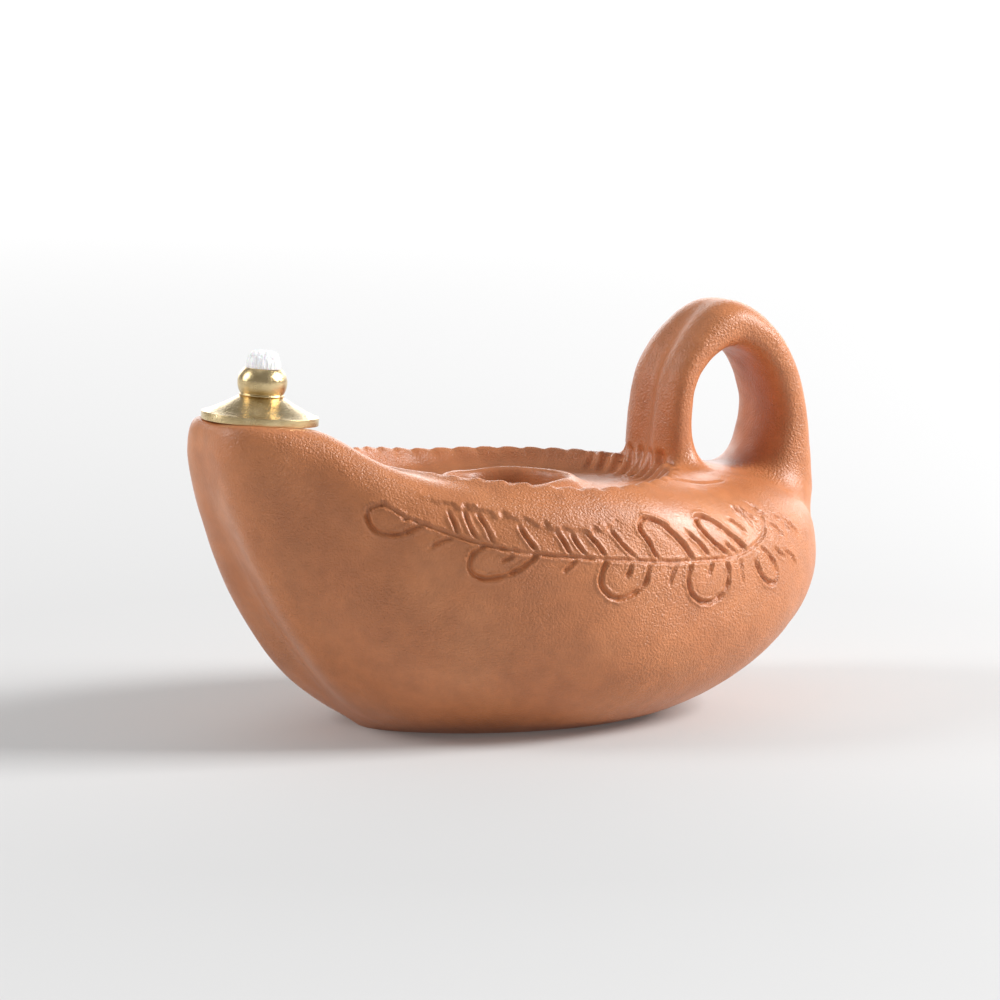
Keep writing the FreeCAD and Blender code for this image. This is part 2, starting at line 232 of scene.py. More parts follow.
def outer_profiles():
    """Smoothed outer stretches, each (angle, row, radius and height): hull, shoulder, wall, floor."""
    slopes = np.radians(np.linspace(*OUTER_RAYS))
    stretches = [[], [], [], []]
    for angle in HALF_TURN:
        rows = clay_profile(angle, slopes, inside=False)
        foot = np.nonzero(rows[:, 1] < 0.02)[0][-1]
        seam = np.nonzero(rows[:, 2])[0][0]
        crest = seam + np.nonzero(rows[seam:, 0] < RIM_R)[0][0]
        toe = seam + np.nonzero(rows[seam:, 0] < RIM_R - 5.0)[0][0]
        floor = seam + np.nonzero(rows[seam:, 0] < FLOOR_R)[0][0]
        cuts = ((foot, seam, HULL_ROWS), (seam, crest, SHOULDER_ROWS),
                (crest, toe, WALL_ROWS), (toe, floor, FLOOR_ROWS))
        for stretch, (first, last, count) in zip(stretches, cuts):
            piece = rows[first:last + 1, :2]
            if last == floor:
                piece = piece[piece[:, 0] > FLOOR_R + COLLAR_SHADOW]
                piece = np.vstack([piece, [(FLOOR_R, piece[-1, 1])]])
            stretch.append(resampled(piece, count))
    result = []
    for stretch in stretches:
        stretch = np.array(stretch)
        length = np.hypot(*np.moveaxis(np.diff(stretch, axis=1), 2, 0)).sum(axis=1).mean()
        spread = FACET / (length / (stretch.shape[1] - 1))
        result.append(smooth(smooth(stretch, 3.0, 0, "even"), spread, 1, "odd"))
    for before, after in zip(result, result[1:]):
        after[:, 0] = before[:, -1]
    return result


def inner_profiles():
    """Smoothed inner stretches: the lower half up to the seam, and the upper half from the seam."""
    slopes = np.radians(np.linspace(*INNER_RAYS))
    read_at = HALF_TURN[::INNER_STEP]
    lower, upper = [], []
    for angle in read_at:
        rows = clay_profile(angle, slopes, inside=True)
        rows = rows[(rows[:, 0] > 0.5) & ((rows[:, 0] > HOLE_R) | (rows[:, 1] < SPINE_Z))]
        seam = np.nonzero(rows[:, 2])[0][0]
        lower.append(resampled(rows[:seam + 1, :2], INNER_ROWS))
        upper.append(resampled(rows[seam:, :2], INNER_ROWS))
    result = []
    for stretch in (lower, upper):
        stretch = smooth(np.array(stretch), 1.5, 0, "even")
        fine = [[np.interp(HALF_TURN, read_at, stretch[:, row, k]) for row in range(INNER_ROWS + 1)]
                for k in (0, 1)]
        result.append(np.array(fine).T)
    return result


def collar_profile():
    """From the sunk floor up over the collar's rolled lip and down the filling hole."""
    rise = (LIP_Z - FLOOR_Z) / COLLAR_TOP
    curve = catmull(COLLAR_SHAPE, 8)
    curve = np.stack([curve[:, 0], FLOOR_Z + rise * curve[:, 1]], axis=1)
    return resampled(np.vstack([curve, [(HOLE_R, CEILING_Z)]]), COLLAR_ROWS)


def raise_crest(profiles):
    """Draw the rim up to a clear edge, highest beside the neck, on (angle, row) profiles."""
    by_neck, elsewhere = CREST_RISE
    height = elsewhere + (by_neck - elsewhere) * (1 - step_up(HALF_TURN, *CREST_FADE))
    outwards = profiles[..., 0] - (RIM_R - 0.6)
    away = outwards / np.where(outwards > 0, 2.2, 1.2)
    rim = step_up(np.arange(profiles.shape[1]), HULL_ROWS + 20, HULL_ROWS + 30)
    profiles[..., 1] += height[:, None] * rim * np.exp(-away ** 2)
    return profiles


def full_turn(half):
    """Profiles of the half turn as points all round, (row, column, xyz)."""
    r = np.concatenate([half[..., 0], half[-2:0:-1, :, 0]]).T
    z = np.concatenate([half[..., 1], half[-2:0:-1, :, 1]]).T
    turn = np.radians(np.arange(COLUMNS) * 360.0 / COLUMNS)
    return np.stack([CENTRE_X - r * np.cos(turn), r * np.sin(turn), z], axis=2)


def grid_normals(points):
    """Normals of a (row, column) grid that closes on itself: outward on the clay's outer skin."""
    across = np.roll(points, -1, axis=1) - np.roll(points, 1, axis=1)
    up = np.gradient(points, axis=0)
    normals = np.cross(up, across)
    return normals / np.maximum(np.linalg.norm(normals, axis=2, keepdims=True), 1e-12)


# ---- what the potter added
# The leaf row, scratched in the damp clay on both sides: (angle, mm below the rim's crest).
STEM = [
    (30.5, 18.6), (36, 17.4), (43.5, 16.2), (58, 15.6), (72, 15.3), (86, 15.5), (101, 16.7),
    (117, 18.8), (129, 21.0), (137, 21.7), (142, 21.0), (145, 18.0), (145, 14.5),
]
LOWER_LEAVES = [
    [(32, 17.6), (28.6, 22.0), (29.6, 24.2), (34, 22.0), (37.5, 18.8), (40.5, 16.0)],
    [(55, 15.2), (51, 18.2), (50.6, 21.2), (53.5, 22.0), (60, 20.0), (65.5, 17.0), (68, 15.0)],
    [(88, 15.4), (86, 17.6), (85.6, 20.4), (88.5, 22.6), (93.5, 22.6), (99, 20.4), (101, 16.6)],
    [(114.5, 18.6), (113, 21.0), (113.4, 24.0), (116.5, 26.4), (120.5, 27.2), (124.5, 26.2),
     (126, 23.6), (126, 20.8)],
    [(135, 23.9), (136, 26.8), (138, 29.6), (140.5, 31.0), (141.5, 29.5), (140.5, 26.5), (138, 22.6)],
]
UPPER_LEAVES = [
    [(104, 16.8), (101.5, 13.0), (99.6, 10.4), (101, 8.7), (104.5, 8.9), (108.5, 10.8),
     (113, 15.0), (115.5, 18.4)],
    [(127.5, 20.6), (123.5, 16.6), (120.6, 13.0), (120.6, 11.2), (123.5, 11.2), (127.5, 13.8),
     (131, 18.0), (133.6, 21.6)],
]
# Single strokes from end to end, each given a slight bow.
STROKES = [
    ((35, 18.6), (36.4, 16.6)), ((41, 20.6), (47, 16.0)), ((57.5, 18.2), (61.5, 15.9)),
    ((74.5, 18.4), (79.5, 15.4)), ((92.5, 19.4), (95, 16.2)), ((106.5, 22.0), (110, 18.0)),
    ((119, 22.2), (121, 19.4)), ((130.5, 27.0), (130.8, 21.6)), ((44.5, 11.4), (47.5, 16.0)),
    ((48.5, 10.2), (52.5, 15.6)), ((51.5, 9.6), (56.5, 15.6)), ((62.5, 10.0), (68, 15.3)),
    ((73, 10.4), (77, 15.2)), ((77.5, 10.4), (82, 15.3)), ((82, 10.2), (87.5, 15.5)),
    ((89.5, 9.4), (97.5, 16.4)), ((114.5, 12.0), (121.5, 19.6)), ((127.5, 17.4), (130.5, 21.0)),
    ((138, 12.5), (139, 19.4)), ((140.5, 13.8), (141.5, 19.0)), ((132.5, 13.9), (136, 19.7)),
    ((145.5, 16.1), (146, 20.2)), ((148, 20.1), (149.5, 27.2)), ((151, 22.3), (153, 29.2)),
    ((144.5, 20.5), (146.5, 25.8)), ((142.5, 24.7), (145, 28.6)), ((145, 26.9), (149, 32.6)),
]
# The ragged line where the potter's rib lifted off, above the leaf row.
RAGGED_EDGE = [
    (30, 15.0), (36, 12.6), (43, 10.6), (50, 9.4), (58, 9.2), (67, 9.2), (76, 9.9), (86.5, 9.7),
    (92, 8.8),
]
# Fine tool marks on the crest between the handle's foot and the leaf row, as strokes.
CHATTER = [((128 + 2.4 * i, 0.5 + 0.85 * i), (141 + 1.7 * i, 3.4 + 0.9 * i)) for i in range(9)]
CHATTER_WIDTH, CHATTER_DEPTH = 0.3, 0.26
GROOVE_WIDTH, GROOVE_DEPTH = 0.36, 0.62
STEM_WIDTH, STEM_DEPTH = 0.30, 0.45
STROKE_SCALE = (0.86, 0.9)   # a stroke's width and depth beside a leaf's
BURR = 0.42              # clay pushed up beside a groove, as a share of its depth
DISH = 0.3               # how far an upper leaf's inside is pressed in along its outline
PILLOW = 0.22            # how far a lower leaf's middle swells
PANEL_STEP = 0.34        # step down at the ragged edge
CRUMB_HEIGHT = 0.8       # torn clay along that edge
SEAM_WIDTH, SEAM_HEIGHT = 0.4, 0.16  # the crease down the bow, where the mould's two sides met
SEAM_SHARP = (16, 38)    # heights between which it softens
SWELL, DIMPLE = 0.07, 0.025  # the hand-made skin's long and short waves, the long ones inwards


class Shoulder:
    """The shoulder's grid on one side, where curves of (angle, mm below the crest) are laid."""

    def __init__(self, half):
        self.points = full_turn(half)[::-1, :len(HALF_TURN)]
        steps = np.linalg.norm(np.diff(self.points, axis=0), axis=2)
        self.drop = np.vstack([np.zeros(steps.shape[1]), np.cumsum(steps, axis=0)])
        self.angle = np.broadcast_to(HALF_TURN, self.drop.shape)

    def place(self, curve):
        """The curve's points in mm."""
        placed = []
        for angle, drop in curve:
            column = min(max(angle, 0), 179.99) / 180 * (len(HALF_TURN) - 1)
            first, share = int(column), column % 1
            ends = [[np.interp(drop, self.drop[:, c], self.points[:, c, k]) for k in range(3)]
                    for c in (first, first + 1)]
            placed.append((1 - share) * np.array(ends[0]) + share * np.array(ends[1]))
        return np.array(placed)

    def distance(self, curve):
        """Distance to the curve at every grid point, and the share of the way along it."""
        line = self.place(curve)
        best = np.full(self.drop.shape, 99.0)
        along = np.zeros(self.drop.shape)
        angles = [angle for angle, _ in curve]
        near = (self.angle > min(angles) - 6) & (self.angle < max(angles) + 6)
        spots, gaps, shares = self.points[near], best[near], along[near]
        for index, (start, end) in enumerate(zip(line, line[1:])):
            way = end - start
            share = np.clip((spots - start) @ way / max(way @ way, 1e-12), 0, 1)
            gap = np.linalg.norm(spots - start - share[:, None] * way, axis=1)
            closer = gap < gaps
            gaps[closer] = gap[closer]
            shares[closer] = (index + share[closer]) / (len(line) - 1)
        best[near], along[near] = gaps, shares
        return best, along

    def inside(self, curve):
        """Which grid points a closed curve encloses."""
        result = np.zeros(self.drop.shape, bool)
        for (a0, d0), (a1, d1) in zip(curve, list(curve[1:]) + [curve[0]]):
            if a0 == a1:
                continue
            crosses = (self.angle >= min(a0, a1)) & (self.angle < max(a0, a1))
            result ^= crosses & (self.drop < d0 + (d1 - d0) * (self.angle - a0) / (a1 - a0))
        return result


def groove(gap, width, depth):
    """The cut of a scratched groove, and the burrs on both sides of it."""
    cut = -depth * np.exp(-(gap / width) ** 2)
    return cut, BURR * np.abs(depth) * np.exp(-((gap - 2.0 * width) / (0.7 * width)) ** 2)


def groove_lines():
    """Every groove of the leaf row: its curve, width, depth and the share over which it tapers."""
    lines = [(catmull(STEM), STEM_WIDTH, STEM_DEPTH, 0.05)]
    lines += [(catmull(leaf), GROOVE_WIDTH, GROOVE_DEPTH, 0.06) for leaf in LOWER_LEAVES + UPPER_LEAVES]
    width, depth = GROOVE_WIDTH * STROKE_SCALE[0], GROOVE_DEPTH * STROKE_SCALE[1]
    for i, (start, end) in enumerate(STROKES):
        middle = ((start[0] + end[0]) / 2 + 0.5 * (-1) ** i, (start[1] + end[1]) / 2)
        lines.append((catmull([start, middle, end], 16), width, depth, 0.3))
    return lines


def leaf_relief(shoulder):
    """Relief of the leaf row on one side, and how deep its grooves are."""
    cuts, burrs = np.zeros(shoulder.drop.shape), np.zeros(shoulder.drop.shape)
    dish = np.zeros(shoulder.drop.shape)
    wobble = ripple(shoulder.points, 2.2, 3)
    for curve, width, depth, taper in groove_lines():
        gap, along = shoulder.distance(curve)
        pressed = depth * step_up(np.minimum(along, 1 - along), -0.02, taper) * (1 + 0.22 * wobble)
        cut, burr = groove(gap, width * (1 + 0.12 * wobble), pressed)
        cuts, burrs = np.minimum(cuts, cut), np.maximum(burrs, burr)
    for leaf in LOWER_LEAVES + UPPER_LEAVES:
        curve = catmull(leaf)
        gap, _ = shoulder.distance(curve)
        if leaf in UPPER_LEAVES:
            dish -= DISH * np.exp(-gap / 1.5) * shoulder.inside(curve)
        else:
            dish += PILLOW * step_up(gap, 0, 2.2) * shoulder.inside(curve)
    return cuts + burrs * (1 + cuts / GROOVE_DEPTH) + dish, -cuts / GROOVE_DEPTH


def panel_relief(shoulder):
    """The recessed panel under the ragged edge, with crumbs of clay along the line."""
    curve = catmull(RAGGED_EDGE)
    gap, _ = shoulder.distance(curve)
    edge = np.interp(shoulder.angle, curve[:, 0], curve[:, 1])
    spots = shoulder.points
    jag = 0.5 * ripple(spots, 2.4, 11)
    below = step_up(shoulder.drop - edge - jag, -0.15, 0.35) * (1 - step_up(shoulder.drop - edge, 1.5, 5.5))
    ends = step_up(shoulder.angle, 34, 44) * (1 - step_up(shoulder.angle, 88, 98))
    crumbs = np.clip(np.abs(ripple(spots, 1.1, 12) * ripple(spots, 0.8, 13)), 0, 0.5)
    patchy = step_up(ripple(spots, 9.0, 14), -0.6, 0.5)
    return ends * (-PANEL_STEP * below + CRUMB_HEIGHT * patchy * crumbs * np.exp(-((gap - jag) / 0.6) ** 2))


def chatter_relief(shoulder):
    """The fine tool marks beside the handle's front foot."""
    relief = np.zeros(shoulder.drop.shape)
    for start, end in CHATTER:
        gap, along = shoulder.distance(catmull([start, end], 16))
        ends = step_up(np.minimum(along, 1 - along), 0, 0.3)
        relief = np.minimum(relief, -CHATTER_DEPTH * ends * np.exp(-(gap / CHATTER_WIDTH) ** 2))
    return relief


def flute_relief(points):
    """Scallops along the rim's crest, and bold crimps under the handle's front foot."""
    x, y, z = points[..., 0] - CENTRE_X, points[..., 1], points[..., 2]
    radius = np.hypot(x, y)
    angle = np.degrees(np.arctan2(np.abs(y), -x))
    turn = np.degrees(np.arctan2(y, -x))
    crimped = 1 - step_up(180 - angle, CRIMP_HALF_ANGLE - 3, CRIMP_HALF_ANGLE + 3)
    lean = FLUTE_LEAN * (z - 45)
    phase = np.radians(turn * FLUTES)
    wave = 0.5 + 0.5 * np.cos(phase + lean + 0.5 * np.sin(phase))
    press = 0.5 + 0.5 * np.cos(np.radians(turn * CRIMPS) + lean)
    outside = (1 - step_up(radius, RIM_R + 0.2, RIM_R + 1.6)) * step_up(z, 41, 43)
    scallop = FLUTE_DEPTH * step_up(radius, RIM_R - 2.6, RIM_R - 0.7) * step_up(angle, *PLAIN_NECK)
    crimp = CRIMP_DEPTH * step_up(z, 43.0, 44.6) * step_up(radius, RIM_R - 5.6, RIM_R - 3.6)
    return -outside * ((1 - crimped) * scallop * wave ** 1.3 + crimped * crimp * press)


def bow_relief(points):
    """The mould seam down the bow: a fine raised line with a soft flat on each side."""
    x, y, z = points[..., 0], points[..., 1], points[..., 2]
    front = (1 - step_up(x, -52, -34)) * step_up(z, 0.5, 3.0) * (1 - step_up(z, 50, 57))
    sharp = 1 - 0.9 * step_up(z, *SEAM_SHARP)
    line = SEAM_HEIGHT * sharp * np.exp(-(y / SEAM_WIDTH) ** 2)
    flat = -0.1 * sharp * np.exp(-((np.abs(y) - 2.4) / 1.8) ** 2)
    return front * (line + flat)


def outer_relief(outer, shoulder_half):
    """Relief over the whole outer grid, and how deep in a groove each point is."""
    shoulder = Shoulder(shoulder_half)
    leaves, groove_share = leaf_relief(shoulder)
    relief_half = leaves + panel_relief(shoulder) + chatter_relief(shoulder)
    mirror = np.concatenate([np.arange(len(HALF_TURN)), np.arange(len(HALF_TURN) - 2, 0, -1)])
    on_shoulder = slice(HULL_ROWS, HULL_ROWS + SHOULDER_ROWS + 1)
    relief = flute_relief(outer) + bow_relief(outer)
    relief[on_shoulder] += relief_half[::-1][:, mirror]
    relief += SWELL * (ripple(outer, 21, 5) - 1) + DIMPLE * ripple(outer, 6, 6)
    relief *= step_up(np.arange(len(relief)), 0, 5)[:, None]
    from_hole = np.hypot(outer[..., 0] - CENTRE_X, outer[..., 1])
    collar = (1 - step_up(from_hole, HOLE_R + 3, FLOOR_R + 3)) * step_up(outer[..., 2], 40, 43)
    relief += COLLAR_SWAY * collar * ripple(outer, 15, 21, 5)
    # How deep in a groove each point is, which the clay's material darkens as painted shade.
    cavity = np.zeros(relief.shape)
    cavity[on_shoulder] = groove_share[::-1][:, mirror]
    return relief, cavity


def build_clay():
    """The whole outer skin with its relief, its normals and groove depths, and the inner skins."""
    hull, shoulder_half, wall, floor = outer_profiles()
    collar = np.broadcast_to(collar_profile(), (len(HALF_TURN), COLLAR_ROWS + 1, 2))
    parts = [hull, shoulder_half[:, 1:], wall[:, 1:], floor[:, 1:], collar[:, 1:]]
    outer = full_turn(raise_crest(smooth(np.concatenate(parts, axis=1), 0.7, 1, "odd")))
    relief, cavity = outer_relief(outer, shoulder_half)
    outer = outer + grid_normals(outer) * relief[..., None]
    inner_lower, inner_upper = inner_profiles()
    return outer, grid_normals(outer), cavity, full_turn(inner_lower), full_turn(inner_upper)


def grid_faces(rows, columns, closed):
    """Quads of a grid whose columns close, and its rows too if closed."""
    row, column = np.meshgrid(np.arange(rows if closed else rows - 1), np.arange(columns), indexing="ij")
    here, above = row * columns, (row + 1) % rows * columns
    beside = (column + 1) % columns
    corners = (here + column, above + column, above + beside, here + beside)
    return np.stack(corners, axis=-1).reshape(-1, 4)


def open_wick_hole(points, faces):
    """Cut the wick hole: drop the faces over it, draw their edges onto its circle and wall it."""
    axis, seat = np.array(SEAT_AXIS), np.array(SEAT)
    offset = points - seat
    along = offset @ axis
    away = offset - along[:, None] * axis
    radius = np.linalg.norm(away, axis=1)
    hole = (radius < WICK_HOLE_R) & (np.abs(along) < 9)
    gone = hole[faces].any(axis=1)
    edge = np.setdiff1d(np.unique(faces[gone]), np.nonzero(hole)[0])
    reach = WICK_HOLE_R / np.maximum(radius[edge], 1e-9)
    points[edge] = seat + along[edge, None] * axis + away[edge] * reach[:, None]
    bearing = np.arctan2(away[:, 1], away[:, 0])
    deck = sorted(edge[along[edge] > -1.5], key=lambda i: bearing[i])
    under = sorted(edge[along[edge] <= -1.5], key=lambda i: bearing[i])
    return faces[~gone].tolist() + ring_wall(deck, under, bearing)


def ring_wall(upper, lower, bearing):
    """Triangles between two rings of vertices that are sorted by their bearing."""
    faces, i, j = [], 0, 0
    while i < len(upper) or j < len(lower):
        a, b = upper[i % len(upper)], lower[j % len(lower)]
        next_a, next_b = upper[(i + 1) % len(upper)], lower[(j + 1) % len(lower)]
        turn_a = bearing[next_a] + (2 * math.pi if i + 1 >= len(upper) else 0)
        turn_b = bearing[next_b] + (2 * math.pi if j + 1 >= len(lower) else 0)
        if j >= len(lower) or (i < len(upper) and turn_a <= turn_b):
            faces.append([a, b, next_a])
            i += 1
        else:
            faces.append([a, b, next_b])
            j += 1
    return faces


def grid_piece(name, outer, normals, cavity, inner, material, poles):
    """A watertight clay half: its outer rows, then its inner rows from the far end back.

    With poles, each end closes on a point. Without, its ends join and the wick hole is cut.
    """
    rows = np.concatenate([outer, inner])
    points = rows.reshape(-1, 3).copy()
    shading = np.concatenate([normals, np.zeros_like(inner)]).reshape(-1, 3)
    values = np.zeros(len(points))
    values[:cavity.size] = cavity.ravel()
    faces = grid_faces(len(rows), COLUMNS, closed=not poles)
    if poles:
        faces = faces.tolist()
        for ring, flip in ((0, 1), (len(rows) - 1, -1)):
            start, pole = ring * COLUMNS, len(points)
            points = np.vstack([points, [(CENTRE_X, 0, points[start, 2])]])
            faces += [[pole, start + i, start + (i + 1) % COLUMNS][::flip] for i in range(COLUMNS)]
        shading = np.vstack([shading, np.zeros((2, 3))])
        values = np.append(values, [0, 0])
    else:
        faces = open_wick_hole(points, faces)
    kept = np.unique(np.concatenate([np.array(face) for face in faces]))
    order = np.full(len(points), -1)
    order[kept] = np.arange(len(kept))
    faces = [[int(order[i]) for i in face] for face in faces]
    piece = new_object(name, points[kept], faces, material, shading[kept])
    paint(piece, "cavity", values[kept])
    return piece


# ---- the ring handle
# Middle of the strap from the filling hole, its height, thickness and width, as in the
# CAD model: from the rim over the top and down to the back of the lamp, and one more point
# inside the clay, where the strap is cut off.
HANDLE_PATH = [
    (34.0, 42.0, 11.0, 21.5), (33.8, 47.5, 9.2, 19.6), (33.9, 55.0, 7.6, 18.6), (35.6, 63.0, 7.4, 18.2),
    (40.6, 69.0, 8.4, 17.8), (47.2, 71.9, 9.9, 17.4), (53.6, 68.6, 8.6, 17.8), (57.5, 62.6, 8.2, 18.2),
    (59.6, 55.0, 8.6, 18.8), (59.3, 47.0, 11.6, 20.0), (58.4, 38.0, 14.2, 21.5), (56.4, 29.0, 14.6, 22.0),
]
STRINGERS = 112          # lines that run along the strap, round its section
SPAN_STEPS = 24          # sections between two points of the path
SQUARENESS = 0.8         # exponent of the section: 1 is an ellipse, 0 a box
GROOVE_HALF_WIDTH = 0.3  # groove between the two rolls, as a share of half the width
ROLL_GROOVE = 1.5        # its depth
GROOVE_END = (0.27, 0.47)    # share of the strap's length over which the groove runs out
EYE_HOLLOW = 0.35        # how far the strap's inner face is hollowed
FRONT_FILLET = (1.8, 6.5)    # clay smoothed out round the front foot: outer face, eye side
REAR_FILLET = (6.5, 8.0)     # and round the rear foot
SKIRT_TOP = (48.0, 49.0)     # heights between which the flutes end on the front foot
FILLET_STEPS = 10
STRAP_ROWS = 150         # rows between the two fillets
HALVINGS = 18            # steps in the search for where a stringer meets the body


def strap_rows():
    """The strap's sections as a (section, stringer, xyz) grid, before its feet are cut."""
    path = catmull(HANDLE_PATH, SPAN_STEPS)
    along = np.gradient(path[:, :2], axis=0)
    along /= np.linalg.norm(along, axis=1)[:, None]
    outward = np.stack([-along[:, 1], along[:, 0]], axis=1)
    turn = np.arange(STRINGERS) * 2 * math.pi / STRINGERS
    across = np.sign(np.cos(turn)) * np.abs(np.cos(turn)) ** SQUARENESS
    out = np.sign(np.sin(turn)) * np.abs(np.sin(turn)) ** SQUARENESS
    share = np.linspace(0, 1, len(path))[:, None]
    fade = step_up(share, 0.05, 0.13) * (1 - 0.93 * step_up(share, *GROOVE_END))
    groove_shape = np.exp(-(across / GROOVE_HALF_WIDTH) ** 2) * step_up(out, 0.2, 0.8)
    hollow = (1 - across ** 2) * step_up(-out, 0.2, 0.8)
    reach = out * path[:, 2:3] / 2 - ROLL_GROOVE * fade * groove_shape + EYE_HOLLOW * hollow
    x = CENTRE_X + path[:, 0:1] + outward[:, 0:1] * reach
    z = path[:, 1:2] + outward[:, 1:2] * reach
    y = across * path[:, 3:4] / 2
    return np.stack([x, y, z], axis=2), out


def body_height(tree, spot):
    """Signed distance from the clay body, the nearest point of it and the normal there."""
    near, normal, _, _ = tree.find_nearest(spot)
    return (spot - near).dot(normal), near, normal


def above_body(tree, stringer):
    """One stringer's points from where it leaves the body to where it enters it again."""
    spots = [Vector(p) for p in stringer]
    above = [body_height(tree, spot)[0] > 0 for spot in spots]
    middle = len(spots) // 2
    first = max(i for i in range(middle) if not above[i]) + 1
    last = min(i for i in range(middle, len(spots)) if not above[i]) - 1
    feet = []
    for low, high in ((spots[first - 1], spots[first]), (spots[last + 1], spots[last])):
        for _ in range(HALVINGS):
            half = (low + high) / 2
            low, high = (low, half) if body_height(tree, half)[0] > 0 else (half, high)
        feet.append(high)
    return [feet[0]] + spots[first:last + 1] + [feet[1]]


def run_out(tree, foot, before, away, length):
    """Points of a fillet from the strap, bending at the foot, to the body's surface."""
    _, near, normal = body_height(tree, foot)
    away = (away - normal * away.dot(normal)).normalized()
    _, landing, up = body_height(tree, foot + away * length)
    curve = []
    for t in np.linspace(0, 1, FILLET_STEPS + 1)[1:]:
        curve.append(before * (1 - t) ** 2 + foot * (2 * t * (1 - t)) + landing * t ** 2)
    curve[-1] = landing - up * 0.02
    return curve, up


def footed_strap(tree):
    """The strap's (row, stringer, xyz) grid with both feet run out, and the clay's normals there."""
    grid, out = strap_rows()
    runs = [above_body(tree, stringer) for stringer in grid.transpose(1, 0, 2)]
    middles = [sum((run[end] for run in runs), Vector()) / STRINGERS for end in (0, -1)]
    lines, end_normals = [], []
    for run, height in zip(runs, out):
        eye_side = float(np.clip(0.5 - 0.6 * height, 0, 1))
        reach = [outer + (inner - outer) * eye_side for outer, inner in (FRONT_FILLET, REAR_FILLET)]
        front, rear, run = run[0], run[-1], np.array(run)
        length = run_length(run)
        stops = np.linspace(reach[0], length[-1] - reach[1], STRAP_ROWS)
        body = [Vector([np.interp(stop, length, run[:, k]) for k in range(3)]) for stop in stops]
        head, up_front = run_out(tree, front, body[0], front - middles[0], reach[0])
        tail, up_rear = run_out(tree, rear, body[-1], rear - middles[1], reach[1])
        lines.append(head[::-1] + body + tail)
        end_normals.append((up_front, up_rear))
    return np.array(lines).transpose(1, 0, 2), np.array(end_normals)


def build_handle(tree, material):
    """The strap with its rolls and groove, and the clay smoothed out round its feet."""
    points, end_normals = footed_strap(tree)
    relief = 0.06 * (ripple(points, 17, 8) - 1) + 0.03 * ripple(points, 4.5, 9)
    relief += (1 - step_up(points[..., 2], *SKIRT_TOP)) * flute_relief(points)
    row = np.arange(len(points))
    relief *= step_up(np.minimum(row, row[::-1]), 0, 3)[:, None]
    points = points - grid_normals(points) * relief[..., None]
    normals = -grid_normals(points)
    normals[0], normals[-1] = end_normals[:, 0], end_normals[:, 1]
    faces = grid_faces(len(points), STRINGERS, closed=False)[:, ::-1].tolist()
    piece = new_object("handle_clay", points.reshape(-1, 3), faces, material, normals.reshape(-1, 3))
    paint(piece, "cavity", np.zeros(relief.size))
    return piece


# ---- turned brass
EDGE = 0.09              # small radius on the brass's edges
CONE_HOLLOW = 1.12       # exponent of the disc's cone: 1 is straight
COLLAR_STEP = 0.22       # how far the tube's neck ring stands out


def along_axis(node):
    """Radii from the wick's axis and heights above the seat of a CAD node's points, in mm."""
    offsets = np.array([v.co / MM - SEAT for v in frame["nodes"][node].data.vertices])
    heights = offsets @ np.array(SEAT_AXIS)
    return np.linalg.norm(offsets - heights[:, None] * np.array(SEAT_AXIS), axis=1), heights


def softened(outline, radius=EDGE):
    """A closed outline with each corner cut by a small three-step round."""
    result = []
    for i, corner in enumerate(outline):
        corner = np.array(corner, float)
        sides = [np.array(outline[j % len(outline)]) - corner for j in (i - 1, i + 1)]
        cut = [side / np.linalg.norm(side) * min(radius, 0.4 * np.linalg.norm(side)) for side in sides]
        for t in (0, 1 / 3, 2 / 3, 1):
            result.append(corner + cut[0] * (1 - t) ** 2 + cut[1] * t ** 2)
    return result


def seat_matrix():
    """From the seat's own frame, with Z along the wick's axis, to the row frame in mm."""
    side = Vector((0, 1, 0))
    return Matrix.Translation(SEAT) @ Matrix((side.cross(SEAT_AXIS), side, SEAT_AXIS)).transposed().to_4x4()


def turned(name, outline, material, segments=160):
    """A piece turned about the wick's axis from a closed (radius, height) outline."""
    outline = np.array(outline)
    turn = np.arange(segments) * 2 * math.pi / segments
    grid = np.stack([outline[:, 0:1] * np.cos(turn), outline[:, 0:1] * np.sin(turn),
                     np.repeat(outline[:, 1:2], segments, axis=1)], axis=2)
    count = len(outline)
    faces = grid_faces(count, segments, closed=True)[:, ::-1].tolist()
    place = np.array(seat_matrix())
    points = grid.reshape(-1, 3) @ place[:3, :3].T + place[:3, 3]
    piece = new_object(name, points, faces, material)
    piece.data.set_sharp_from_angle(angle=math.radians(40))
    paint(piece, "run", np.repeat(run_length(outline), segments))
    paint(piece, "around_x", np.tile(np.cos(turn), count))
    paint(piece, "around_y", np.tile(np.sin(turn), count))
    return piece


def build_disc(material):
    """The disc: a low cone with a rim band, recessed underneath, hollowed a little by the neck."""
    radii, heights = along_axis("wick_disc")
    tube_r, top = radii.min(), heights.max()
    band = heights[radii > radii.max() - 0.05].max()
    recess_r = radii[heights < 0.05].min()
    recess = sorted(set(heights[radii < tube_r + 0.1].round(2)))[0]
    outline = [(tube_r, recess), (recess_r - recess, recess), (recess_r, 0), (DISC_R, 0), (DISC_R, band),
               (DISC_R - 0.25, band + 0.02)]
    width, foot = DISC_R - 0.4 - tube_r, band + 0.06
    for t in np.linspace(0.15, 1, 8):
        outline.append((tube_r + width * (1 - t), foot + (top - foot) * t ** CONE_HOLLOW))
    return turned("wick_disc_brass", softened(outline), material)


